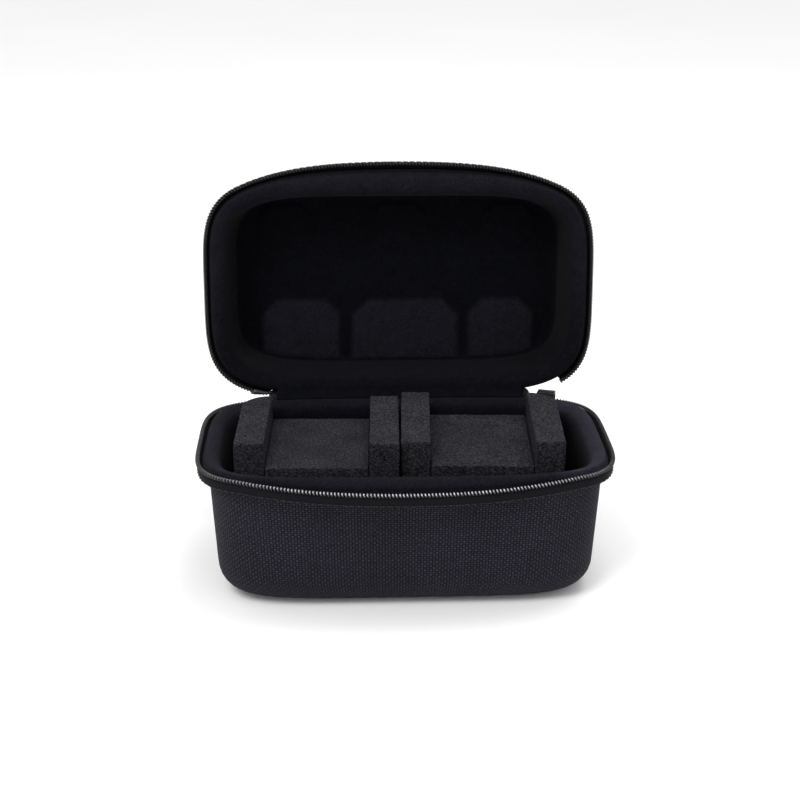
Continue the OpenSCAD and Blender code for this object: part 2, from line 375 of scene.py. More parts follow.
def ripple(co: np.ndarray, size: float, seed: float) -> np.ndarray:
    """A smooth, repeatable unevenness between about -1 and 1.

    Args:
        co: Points.
        size: Length of the longest waves.
        seed: Shifts the pattern.

    Returns:
        One value a point.
    """
    x, y, z = (co * 2 * math.pi / size).T
    a = np.sin(x + 1.7 * y + seed) * np.cos(1.3 * z - 0.6 * y + 2 * seed)
    b = np.sin(2.3 * y - 1.1 * x + 3 * seed) * np.cos(1.9 * x + 2.1 * z + seed)
    c = np.sin(3.1 * z + 2.7 * x - seed) * np.cos(2.9 * y - 0.8 * z)
    return (a + 0.6 * b + 0.35 * c) / 1.6


# ---------------------------------------------------------------- materials


class Web:
    """Short hand for building a shader or geometry tree."""

    def __init__(self, tree: bpy.types.NodeTree) -> None:
        """Keeps the tree."""
        self.tree = tree

    def add(self, kind: str, inputs: dict[int | str, Any] | None = None, **settings: Any) -> bpy.types.Node:
        """Adds a node.

        Args:
            kind: The node's type name.
            inputs: Value or output socket for each input, by name or number.
            **settings: Properties of the node.

        Returns:
            The node.
        """
        node = self.tree.nodes.new(kind)
        for key, value in settings.items():
            setattr(node, key, value)
        self.feed(node, inputs or {})
        return node

    def feed(self, node: bpy.types.Node, inputs: dict[int | str, Any]) -> None:
        """Sets or links a node's inputs, by name or number."""
        for key, value in inputs.items():
            if isinstance(value, bpy.types.NodeSocket):
                self.tree.links.new(value, node.inputs[key])
            else:
                node.inputs[key].default_value = value

    def maths(self, operation: str, *values: Any) -> bpy.types.NodeSocket:
        """A Math node's result, from numbers or sockets."""
        return self.add("ShaderNodeMath", dict(enumerate(values)), operation=operation).outputs[0]

    def mixed(self, share: Any, low: Any, high: Any) -> bpy.types.NodeSocket:
        """A colour between two, by a share from 0 to 1."""
        return self.add("ShaderNodeMix", {0: share, 6: low, 7: high}, data_type="RGBA").outputs[2]

    def ranged(
        self, value: Any, low: float, high: float, to_low: float, to_high: float
    ) -> bpy.types.NodeSocket:
        """A value moved from one range to another, clamped."""
        return self.add("ShaderNodeMapRange", {0: value, 1: low, 2: high, 3: to_low, 4: to_high}).outputs[0]

    def noise(self, place: Any, scale: Any, **more: float) -> bpy.types.NodeSocket:
        """A Noise Texture's factor."""
        return self.add("ShaderNodeTexNoise", {"Vector": place, "Scale": scale, **more}).outputs["Fac"]


def group_with(name: str, inputs: dict[str, float | str], outputs: Sequence[str]) -> Web:
    """An empty shader group with named sockets.

    Args:
        name: Name of the group.
        inputs: Default of each number input, or "vector" for a vector input.
        outputs: Names of the number outputs.

    Returns:
        The group's tree, in its short hand.
    """
    tree = bpy.data.node_groups.new(name, "ShaderNodeTree")
    for key, value in inputs.items():
        kind = "NodeSocketVector" if value == "vector" else "NodeSocketFloat"
        socket = tree.interface.new_socket(key, in_out="INPUT", socket_type=kind)
        if value != "vector":
            socket.default_value = value
    for key in outputs:
        tree.interface.new_socket(key, in_out="OUTPUT", socket_type="NodeSocketFloat")
    return Web(tree)


@cache
def weave_group() -> bpy.types.NodeTree:
    """Plain weave: crossing round threads, with their height and a shade for each crossing."""
    web = group_with(
        "woven threads",
        {"Cloth": "vector", "Across": 1.35 * MM, "Along": 1.07 * MM, "Unevenness": 0.15},
        ["Height", "Shade"],
    )
    given = web.add("NodeGroupInput").outputs
    drift = web.maths("SUBTRACT", web.noise(given["Cloth"], 220.0, Detail=2.0), 0.5)
    push = web.maths("MULTIPLY", drift, given["Unevenness"])
    split = web.add("ShaderNodeSeparateXYZ", {0: given["Cloth"]}).outputs
    u, v = (
        web.maths("ADD", web.maths("DIVIDE", split[k], given[way]), push)
        for k, way in enumerate(("Across", "Along"))
    )
    warp, weft = (web.maths("ABSOLUTE", web.maths("SINE", web.maths("MULTIPLY", w, math.pi))) for w in (u, v))
    column, line = web.maths("FLOOR", u), web.maths("FLOOR", v)
    over = web.maths("FLOORED_MODULO", web.maths("ADD", column, line), 2.0)
    rise = web.maths("MULTIPLY", web.maths("POWER", warp, 0.6), web.maths("POWER", weft, 0.35))
    sink = web.maths("MULTIPLY", web.maths("POWER", weft, 0.6), web.maths("POWER", warp, 0.35))
    height = web.add("ShaderNodeMix", {0: over, 2: web.maths("MULTIPLY", sink, 0.62), 3: rise}).outputs[0]
    crossing = web.add("ShaderNodeCombineXYZ", {0: column, 1: line}).outputs[0]
    shade = web.noise(crossing, 0.73, Detail=1.0)
    web.add("NodeGroupOutput", {"Height": height, "Shade": shade})
    return web.tree


@cache
def grain_group() -> bpy.types.NodeTree:
    """Two sizes of fine grain, for foam, knit and metal."""
    sizes = {"Place": "vector", "Grain": 0.5 * MM, "Patch": 20 * MM}
    web = group_with("fine grain", sizes, ["Fine", "Cells", "Broad"])
    given = web.add("NodeGroupInput").outputs
    place, fine = given["Place"], web.maths("DIVIDE", 1.0, given["Grain"])
    cells = web.add("ShaderNodeTexVoronoi", {"Vector": place, "Scale": web.maths("MULTIPLY", fine, 0.8)})
    outputs = {
        "Fine": web.noise(place, fine, Detail=3.0, Roughness=0.65),
        "Cells": cells.outputs["Distance"],
        "Broad": web.noise(place, web.maths("DIVIDE", 1.0, given["Patch"]), Detail=2.0),
    }
    web.add("NodeGroupOutput", outputs)
    return web.tree


def started_material(name: str) -> tuple[bpy.types.Material, Web, bpy.types.Node]:
    """An empty material with a Principled shader wired to its output.

    Args:
        name: Name of the material.

    Returns:
        The material, its tree and the shader.
    """
    material = bpy.data.materials.new(name)
    material.use_nodes = True
    material.node_tree.nodes.clear()
    web = Web(material.node_tree)
    shader = web.add("ShaderNodeBsdfPrincipled")
    web.add("ShaderNodeOutputMaterial", {"Surface": shader.outputs[0]})
    return material, web, shader


@dataclass(frozen=True, kw_only=True)
class Finish:
    """What cloth and grain share: names, colours, the depth of the texture, and gloss."""

    name: str
    slot: str
    dark: Colour
    light: Colour
    depth: float
    roughness: float
    sheen: float = 0.02
    sheen_roughness: float = 0.4
    specular: float = 0.12
    metallic: float = 0.0

    def wired(
        self, web: Web, shader: bpy.types.Node, colour: Any, rough: Any, height: Any, strength: float
    ) -> None:
        """Joins what changes over the surface to the shader, and sets what doesn't.

        Args:
            web: The material's tree.
            shader: Its Principled shader.
            colour: The base colour's socket.
            rough: The roughness's socket.
            height: The bump's height.
            strength: The bump's strength.
        """
        bump = web.add("ShaderNodeBump", {"Height": height, "Strength": strength, "Distance": self.depth})
        web.feed(shader, {
            "Base Color": colour, "Roughness": rough, "Normal": bump.outputs[0], "Metallic": self.metallic,
            "Sheen Weight": self.sheen, "Sheen Roughness": self.sheen_roughness,
            "Specular IOR Level": self.specular,
        })


@dataclass(frozen=True, kw_only=True)
class WovenFinish(Finish):
    """Woven cloth that follows the piece's own cloth coordinates."""

    across: float
    along: float
    sheen_roughness: float = 0.5

    def build(self) -> bpy.types.Material:
        """Makes the material."""
        material, web, shader = started_material(self.name)
        cloth = web.add("ShaderNodeUVMap", uv_map=CLOTH).outputs[0]
        given = {"Cloth": cloth, "Across": self.across, "Along": self.along}
        weave = web.add("ShaderNodeGroup", node_tree=weave_group())
        web.feed(weave, given)
        height, shade = weave.outputs["Height"], weave.outputs["Shade"]
        broad = web.noise(web.add("ShaderNodeTexCoord").outputs["Object"], 28.0, Detail=3.0)
        # painted shade: the colour darkens down into the dips between threads, following their height
        lit = web.maths("MULTIPLY", height, web.ranged(shade, 0.3, 0.7, 0.7, 1.1))
        lit = web.maths("MULTIPLY", lit, web.ranged(broad, 0.3, 0.7, 0.85, 1.1))
        colour = web.mixed(web.ranged(lit, 0.18, 1.0, 0.0, 1.0), self.dark, self.light)
        rough = web.ranged(height, 0.0, 1.0, min(1.0, self.roughness + 0.2), self.roughness)
        self.wired(web, shader, colour, rough, height, 0.8)
        return material


@dataclass(frozen=True, kw_only=True)
class GrainFinish(Finish):
    """Foam, pile, plastic or metal: one colour broken up by fine grain and broad patches, with a painted
    highlight where given.
    """

    grain: float
    patch: float
    sheen: float = 0.0
    cells: bool = False
    # colour of the painted highlight, mixed in where the painted-highlight attribute says
    highlight_colour: Colour | None = None

    def build(self) -> bpy.types.Material:
        """Makes the material."""
        material, web, shader = started_material(self.name)
        grain = web.add("ShaderNodeGroup", node_tree=grain_group())
        place = web.add("ShaderNodeTexCoord").outputs["Object"]
        web.feed(grain, {"Place": place, "Grain": self.grain, "Patch": self.patch})
        fine = web.ranged(grain.outputs["Fine"], 0.32, 0.68, 0.0, 1.0)
        if self.cells:
            fine = web.maths("MULTIPLY", fine, web.ranged(grain.outputs["Cells"], 0.1, 0.7, 0.45, 1.2))
        shade = web.maths("MULTIPLY", fine, web.ranged(grain.outputs["Broad"], 0.3, 0.7, 0.75, 1.15))
        colour = web.mixed(shade, self.dark, self.light)
        # painted highlight: mixes the highlight colour in by the stored attribute
        if self.highlight_colour:
            brushed = web.add("ShaderNodeAttribute", attribute_name=PAINTED_HIGHLIGHT).outputs["Fac"]
            brushed = web.maths("MULTIPLY", brushed, web.ranged(shade, 0.0, 1.0, 0.2, 1.0))
            colour = web.mixed(brushed, colour, self.highlight_colour)
        high, low = min(1.0, self.roughness + 0.08), self.roughness - 0.06
        rough = web.ranged(grain.outputs["Fine"], 0.3, 0.7, high, low)
        self.wired(web, shader, colour, rough, fine, 0.7)
        return material


OUTER_FABRIC = WovenFinish(
    name="ballistic weave", slot="outer_fabric",
    dark=(0.0005, 0.0005, 0.001, 1), light=(0.031, 0.0303, 0.0475, 1),
    across=1.35 * MM, along=1.07 * MM, depth=0.7 * MM, roughness=0.7,
)
TAPE_FABRIC = WovenFinish(
    name="zipper tape weave", slot="zipper_tape",
    dark=(0.0015, 0.0015, 0.0022, 1), light=(0.0062, 0.006, 0.0098, 1),
    across=0.55 * MM, along=0.5 * MM, depth=0.12 * MM, roughness=0.8,
)
# the lining's highlight colour is a painted highlight, laid on where light falls
LINING_PILE = GrainFinish(
    name="brushed lining", slot="lining", dark=(0.0012, 0.0013, 0.0019, 1), light=(0.0048, 0.0050, 0.0072, 1),
    highlight_colour=(0.032, 0.031, 0.045, 1), grain=0.6 * MM, patch=6 * MM, depth=0.3 * MM, roughness=0.97,
    sheen=0.02, specular=0.03,
)
EVA_FOAM = GrainFinish(
    name="moulded foam", slot="eva_foam", dark=(0.006, 0.006, 0.007, 1), light=(0.014, 0.014, 0.016, 1),
    grain=0.4 * MM, patch=25 * MM, depth=0.1 * MM, roughness=0.9, specular=0.1,
)
CRADLE_FOAM = GrainFinish(
    name="cut foam", slot="cradle_foam", dark=(0.0008, 0.0008, 0.001, 1), light=(0.045, 0.044, 0.054, 1),
    grain=0.9 * MM, patch=14 * MM, depth=0.9 * MM, roughness=0.97, cells=True, sheen=0.02, specular=0.05,
)
# the coil's highlight colour is a painted highlight: glints on the loops' crests
COIL_NYLON = GrainFinish(
    name="coil nylon", slot="zipper_coil", dark=(0.02, 0.02, 0.022, 1), light=(0.06, 0.06, 0.065, 1),
    highlight_colour=(0.6, 0.6, 0.61, 1), grain=0.8 * MM, patch=9 * MM, depth=0.02 * MM, roughness=0.22, specular=0.15,
)
THREAD = GrainFinish(
    name="sewing thread", slot="thread", dark=(0.005, 0.005, 0.008, 1), light=(0.022, 0.022, 0.031, 1),
    grain=0.2 * MM, patch=12 * MM, depth=0.05 * MM, roughness=0.6, specular=0.2,
)
DARK_METAL = GrainFinish(
    name="blackened metal", slot="zipper_metal", dark=(0.016, 0.016, 0.018, 1), light=(0.05, 0.05, 0.054, 1),
    grain=0.3 * MM, patch=5 * MM, depth=0.01 * MM, roughness=0.36, metallic=0.6, specular=0.5,
)


class Wardrobe:
    """Each finish, built when it is first asked for, and the last step of every piece."""

    def __init__(self) -> None:
        """Starts empty."""
        self.built: dict[str, bpy.types.Material] = {}

    def get(self, finish: WovenFinish | GrainFinish) -> bpy.types.Material:
        """The material of a finish."""
        if finish.name not in self.built:
            self.built[finish.name] = finish.build()
        return self.built[finish.name]

    def fit(
        self, piece: bpy.types.Object, finish: WovenFinish | GrainFinish, node: str, body: str | None
    ) -> None:
        """Dresses a piece, ties it to its solid and its body, and reports it.

        Args:
            piece: The finished piece.
            finish: Its only finish.
            node: The solid that it stands for.
            body: The body that it rides on, or None where it is blended between two.
        """
        piece.data.materials.clear()
        piece.data.materials.append(self.get(finish))
        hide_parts(node)
        if body:
            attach(piece, body)
        LOG.info("%s: %d faces", piece.name, len(piece.data.polygons))


# ---------------------------------------------------------------- the case


def arc_places(
    form: CaseForm, start: float, stop: float, pitch: float, inset: float = 0.0, z: float = 0.0
) -> np.ndarray:
    """Plan angles whose points lie a fixed distance apart along the rim.

    Args:
        form: The case's rule.
        start: First plan angle, in degrees.
        stop: Last plan angle, in degrees.
        pitch: Distance between neighbours.
        inset: Distance in from the zipper line.
        z: Height over the zipper line.

    Returns:
        Angles in radians.
    """
    fine = np.radians(np.linspace(start, stop, 6000))
    length = run_length(form.place(fine, inset, z))
    count = int(length[-1] / pitch)
    return np.interp(np.arange(count + 1) * length[-1] / count, length, fine)


@dataclass
class Half:
    """One half of the case: which body it is, and how it lies in the frame."""

    name: str
    form: CaseForm
    depth: float  # from the zipper line to the outside of the floor
    fillet: float  # radius between floor and wall
    open_angle: float
    zip_start: float
    zip_stop: float = -240.0
    fillet_rows: int = 10

    def world(self, points: np.ndarray) -> np.ndarray:
        """Points of the half's own frame, moved into the shared frame."""
        form = self.form
        if self.name == "base":
            return points + np.array([0.0, 0.0, form.hinge_z - form.mate])
        x, y, z = points[..., 0], points[..., 1] - form.hinge_y, form.mate - points[..., 2]
        c, s = math.cos(-self.open_angle), math.sin(-self.open_angle)
        return np.stack([x, y * c - z * s + form.hinge_y, y * s + z * c + form.hinge_z], -1)

    def turned(self, vectors: np.ndarray) -> np.ndarray:
        """Directions of the half's own frame, in the shared frame."""
        return self.world(vectors) - self.world(np.zeros(3))

    def wall_rows(self, depth_in: float) -> Profile:
        """The profile from the floor's edge round the fillet to the top of the plain wall.

        Args:
            depth_in: Distance in from the outside of the cover.

        Returns:
            Insets and heights.
        """
        form, r, out = self.form, self.fillet, []
        edge = form.wall_inset(r - self.depth) + depth_in
        for angle in np.radians(np.linspace(0, 90, self.fillet_rows)):
            inset = edge + (r - depth_in) * (1 - math.sin(angle))
            out.append((inset, depth_in - self.depth + (r - depth_in) * (1 - math.cos(angle))))
        return [*out, (form.wall_inset(WALL_TOP) + depth_in, WALL_TOP)]

    def loft(self, profile: Profile, phi: np.ndarray) -> np.ndarray:
        """Rows of points of a profile round the case, in the half's own frame."""
        return np.stack([self.form.place(phi, inset, z) for inset, z in profile])


@dataclass(frozen=True)
class Pad:
    """A moulded pad in the lid's lining, in millimetres of the lid's own frame."""

    x: float
    y: float
    width: float
    length: float
    upper_cut: float
    lower_cut: float
    slope: float = 3.0

    def share(self, x: np.ndarray, y: np.ndarray) -> np.ndarray:
        """Height of the pad at places, from 0 beside it to 1 on it.

        Args:
            x: Places across.
            y: Places towards the hinge.

        Returns:
            The share, with a smooth step at the pad's edge.
        """
        dx, dy = np.abs(x - self.x), np.abs(y - self.y)
        cut = np.where(y > self.y, self.lower_cut, self.upper_cut)
        corner = (dx + dy - (self.width / 2 + self.length / 2 - cut)) / math.sqrt(2)
        off = np.maximum(np.maximum(dx - self.width / 2, dy - self.length / 2), corner)
        t = np.clip(0.5 - off / self.slope, 0, 1)
        return t * t * (3 - 2 * t)


LID_PADS = (
    Pad(-47, 26.1, 38, 31, 7, 0), Pad(4, 26.1, 52, 31, 8, 0), Pad(51, 26.1, 32, 31, 7, 0),
    Pad(-54, -26.4, 26, 20, 6, 6), Pad(0, -26.4, 30, 20, 6, 6), Pad(54, -26.4, 26, 20, 6, 6),
)


@dataclass
class ShellLayers:
    """Outer cover, foam shell and lining of one half."""

    half: Half
    wardrobe: Wardrobe
    fabric: float = 0.8 * MM
    foam: float = 5.2 * MM
    lining: float = 0.7 * MM
    columns: int = 320
    pad_height: float = 2.2 * MM
    pad_fade: float = 1.6 * MM
    lip_reach: float = 9 * MM
    edge_out: Profile = field(default_factory=lambda: in_mm((4.95, -7), (3.6, -6), (1.6, -5.4)))
    edge_in: Profile = field(default_factory=lambda: in_mm((1.6, -4.7), (4, -5.2), (5.7, -6.4)))
    foam_rim: Profile = field(
        default_factory=lambda: in_mm((1.9, -2.5), (3.3, -1), (3.6, 0.4), (5, 1.2), (7.4, 0.4), (9.7, -2.4))
    )
    lining_rim: Profile = field(
        default_factory=lambda: in_mm(
            (1.9, -1.8), (2.6, -0.8), (2.9, 0.8), (4.7, 1.95), (7.9, 1.1), (10.5, -2.1)
        )
    )

    def __post_init__(self) -> None:
        """Spaces the columns."""
        self.phi = np.arange(self.columns) * 2 * math.pi / self.columns

    def rows(self, profile: Profile) -> np.ndarray:
        """Rows of a profile round the whole half."""
        return self.half.loft(profile, self.phi)

    def cup(self, label: str, outside: np.ndarray, inside: np.ndarray, seam_row: int) -> bpy.types.Object:
        """A closed cup between an outer and an inner run of rows.

        Args:
            label: What the layer is.
            outside: Rows from the middle of the outside to the rim.
            inside: Rows from the rim to the middle of the inside.
            seam_row: The row whose length the cloth keeps.

        Returns:
            The piece.
        """
        points = self.half.world(np.concatenate([outside, inside]))
        return skin(f"{self.half.name}_{label}", points, True, seam_row)

    def finished(self, piece: bpy.types.Object, finish: WovenFinish | GrainFinish, node: str) -> None:
        """Dresses a layer and ties it to its body and its solid."""
        self.wardrobe.fit(piece, finish, f"{self.half.name}_{node}", self.half.name)

    def build_cover(self) -> None:
        """The woven outer cover, its edge turned at the rim."""
        half = self.half
        out = self.rows(half.wall_rows(0.0) + self.edge_out)
        fixed = half.fillet_rows - 1
        out = subdivided(np.concatenate([out[:fixed], rounded(out[fixed:])]), 5 * MM)
        back = self.rows(self.edge_in + half.wall_rows(self.fabric)[::-1])
        self.finished(self.cup("cover", out, back, len(out) - 1), OUTER_FABRIC, "outer_fabric")

    def build_foam(self) -> None:
        """The moulded foam between cover and lining."""
        half = self.half
        out = self.rows(half.wall_rows(self.fabric) + self.edge_in[::-1])
        rim = rounded(self.rows(self.foam_rim), 1)
        back = self.rows(half.wall_rows(self.fabric + self.foam)[::-1])
        piece = self.cup("foam_shell", out, np.concatenate([rim, back]), len(out) - 1)
        self.finished(piece, EVA_FOAM, "eva_shell")

    def build_lining(self) -> None:
        """The soft lining, with its rolled lip and, in the lid, the moulded pads."""
        half, depth = self.half, self.fabric + self.foam
        out = self.rows(half.wall_rows(depth) + self.foam_rim[::-1])
        wall = half.wall_rows(depth + self.lining)[::-1]
        crest = rounded(self.rows([*self.lining_rim, wall[0]]), 3)
        inner = subdivided(np.concatenate([crest, self.rows(wall[1:])]), 4 * MM)
        inner = np.concatenate([inner, self.floor_rows(inner[-1])])
        share = self.relief(inner) if half.name == "lid" else np.zeros(inner.shape[:2])
        # painted highlight on the lining's lip and, in the lid, on the pads
        brushed = self.highlight_share(inner, share)
        inner[..., 2] += share * self.pad_height
        piece = self.cup("soft_lining", out, inner, len(out))
        store_painted_highlight(piece, np.concatenate([np.zeros(out.shape[:2]), brushed]))
        self.finished(piece, LINING_PILE, "lining")

    def floor_rows(self, edge: np.ndarray) -> np.ndarray:
        """Rings that fill the flat floor inside an edge, close together where pads are moulded."""
        rings = 60 if self.half.name == "lid" else 12
        middle = np.array([0.0, 0.0, edge[:, 2].mean()])
        return middle + (edge - middle) * np.linspace(1, 0.02, rings)[1:, None, None]

    def relief(self, points: np.ndarray) -> np.ndarray:
        """Height of the moulded pads over the lid's floor, as a share of their full height."""
        x, y = points[..., 0] / MM, points[..., 1] / MM
        floor = (self.fabric + self.foam + self.lining) - self.half.depth
        near = np.clip(1 - (points[..., 2] - floor) / self.pad_fade, 0, 1)
        return np.max([pad.share(x, y) for pad in LID_PADS], axis=0) * near

    def highlight_share(self, inner: np.ndarray, share: np.ndarray) -> np.ndarray:
        """How strongly the painted highlight falls on the pile: along the lip and, in the lid, on the pads
        near the hinge.

        Args:
            inner: The lining's inner rows, still without pads.
            share: Height of the pads, from 0 to 1.

        Returns:
            One value a point, from 0 to 1.
        """
        x, y = inner[..., 0] / MM, inner[..., 1] / MM
        lip = np.clip(1 + inner[..., 2] / self.lip_reach, 0, 1) ** 2
        if self.half.name == "lid":
            # painted light: the lip's painted highlight fades towards the hinge, and the pads beside the
            # hinge are painted pale where light falls on them
            lip *= 0.22 - 0.17 * np.clip((y + 10) / 45, 0, 1)
            return np.maximum(lip, 0.31 * np.clip((y + 5) / 12, 0, 1) * share)
        # painted highlight: the base's lip is palest round its ends, most of all on the right
        return lip * (0.18 + np.where(x > 0, 0.82, 0.28) * np.clip((np.abs(x) - 60) / 15, 0, 1))

    def build(self) -> None:
        """Makes all three layers."""
        self.build_cover()
        self.build_foam()
        self.build_lining()


class Repeat(Enum):
    """What is set at each place of a row."""

    LOOP = "coil loops"
    STITCH = "stitches"


def repeat_tree(kind: Repeat, material: bpy.types.Material) -> bpy.types.NodeTree:
    """A tree that sets one small shape on each point, along stored directions.

    Args:
        kind: A loop of the coil, or a stitch.
        material: The finish of the shapes.

    Returns:
        The geometry tree, with inputs for the sizes.
    """
    tree = bpy.data.node_groups.new(kind.value, "GeometryNodeTree")
    face = tree.interface
    face.new_socket("Geometry", in_out="INPUT", socket_type="NodeSocketGeometry")
    for name in ("Length", "Width", "Thickness"):
        face.new_socket(name, in_out="INPUT", socket_type="NodeSocketFloat").default_value = MM
    face.new_socket("Geometry", in_out="OUTPUT", socket_type="NodeSocketGeometry")
    web = Web(tree)
    given = web.add("NodeGroupInput").outputs
    if kind is Repeat.LOOP:
        size = web.add("ShaderNodeCombineXYZ", {0: given["Width"], 1: given["Length"], 2: 1.0}).outputs[0]
        ring = web.add("GeometryNodeCurvePrimitiveCircle", {"Resolution": 10, "Radius": 1.0}).outputs[0]
        loop = web.add("GeometryNodeTransform", {"Geometry": ring, "Scale": size}).outputs[0]
        section = {"Resolution": 5, "Radius": given["Thickness"]}
        section = web.add("GeometryNodeCurvePrimitiveCircle", section).outputs[0]
        shape = web.add("GeometryNodeCurveToMesh", {"Curve": loop, "Profile Curve": section})
    else:
        sizes = {0: given["Width"], 1: given["Thickness"], 2: given["Length"]}
        size = web.add("ShaderNodeCombineXYZ", sizes).outputs[0]
        ball = web.add("GeometryNodeMeshUVSphere", {"Segments": 6, "Rings": 5, "Radius": 0.5}).outputs[0]
        shape = web.add("GeometryNodeTransform", {"Geometry": ball, "Scale": size})
    along, across = (
        web.add("GeometryNodeInputNamedAttribute", {"Name": key}, data_type="FLOAT_VECTOR").outputs[0]
        for key in ("along", "across")
    )
    turn = web.add("FunctionNodeAxesToRotation", {0: along, 1: across}, primary_axis="Z", secondary_axis="X")
    laid = {"Points": given["Geometry"], "Instance": shape.outputs[0], "Rotation": turn.outputs[0]}
    placed = web.add("GeometryNodeInstanceOnPoints", laid).outputs[0]
    real = web.add("GeometryNodeRealizeInstances", {0: placed}).outputs[0]
    smooth = web.add("GeometryNodeSetShadeSmooth", {"Geometry": real}).outputs[0]
    dressed = web.add("GeometryNodeSetMaterial", {"Geometry": smooth, "Material": material}).outputs[0]
    web.add("NodeGroupOutput", {0: dressed})
    return tree


def repeated(
    name: str,
    tree: bpy.types.NodeTree,
    places: np.ndarray,
    along: np.ndarray,
    across: np.ndarray,
    sizes: dict[str, float],
) -> bpy.types.Object:
    """Runs a repeat tree over a row of places and keeps the result as a plain mesh.

    Args:
        name: Name of the piece.
        tree: The tree from repeat_tree.
        places: The points.
        along: Direction of each shape's long axis or axle.
        across: Direction of each shape's width.
        sizes: The tree's inputs by name.

    Returns:
        The piece, with no modifier.
    """
    mesh = bpy.data.meshes.new(f"{name}_places")
    mesh.from_pydata(places.tolist(), [], [])
    directions = {"along": along, "across": across}
    for key, value in directions.items():
        data = mesh.attributes.new(key, "FLOAT_VECTOR", "POINT").data
        data.foreach_set("vector", value.astype(np.float32).ravel())
    carrier = linked(f"{name}_carrier", mesh)
    modifier = carrier.modifiers.new("repeat", "NODES")
    modifier.node_group = tree
    sockets = [item for item in tree.interface.items_tree if item.item_type == "SOCKET"]
    for socket in sockets:
        if socket.in_out == "INPUT" and socket.name in sizes:
            modifier[socket.identifier] = sizes[socket.name]
    bpy.context.view_layer.update()
    baked = bpy.data.meshes.new_from_object(carrier.evaluated_get(bpy.context.evaluated_depsgraph_get()))
    bpy.data.objects.remove(carrier)
    for key in directions:
        if key in baked.attributes:
            baked.attributes.remove(baked.attributes[key])
    return linked(name, baked)


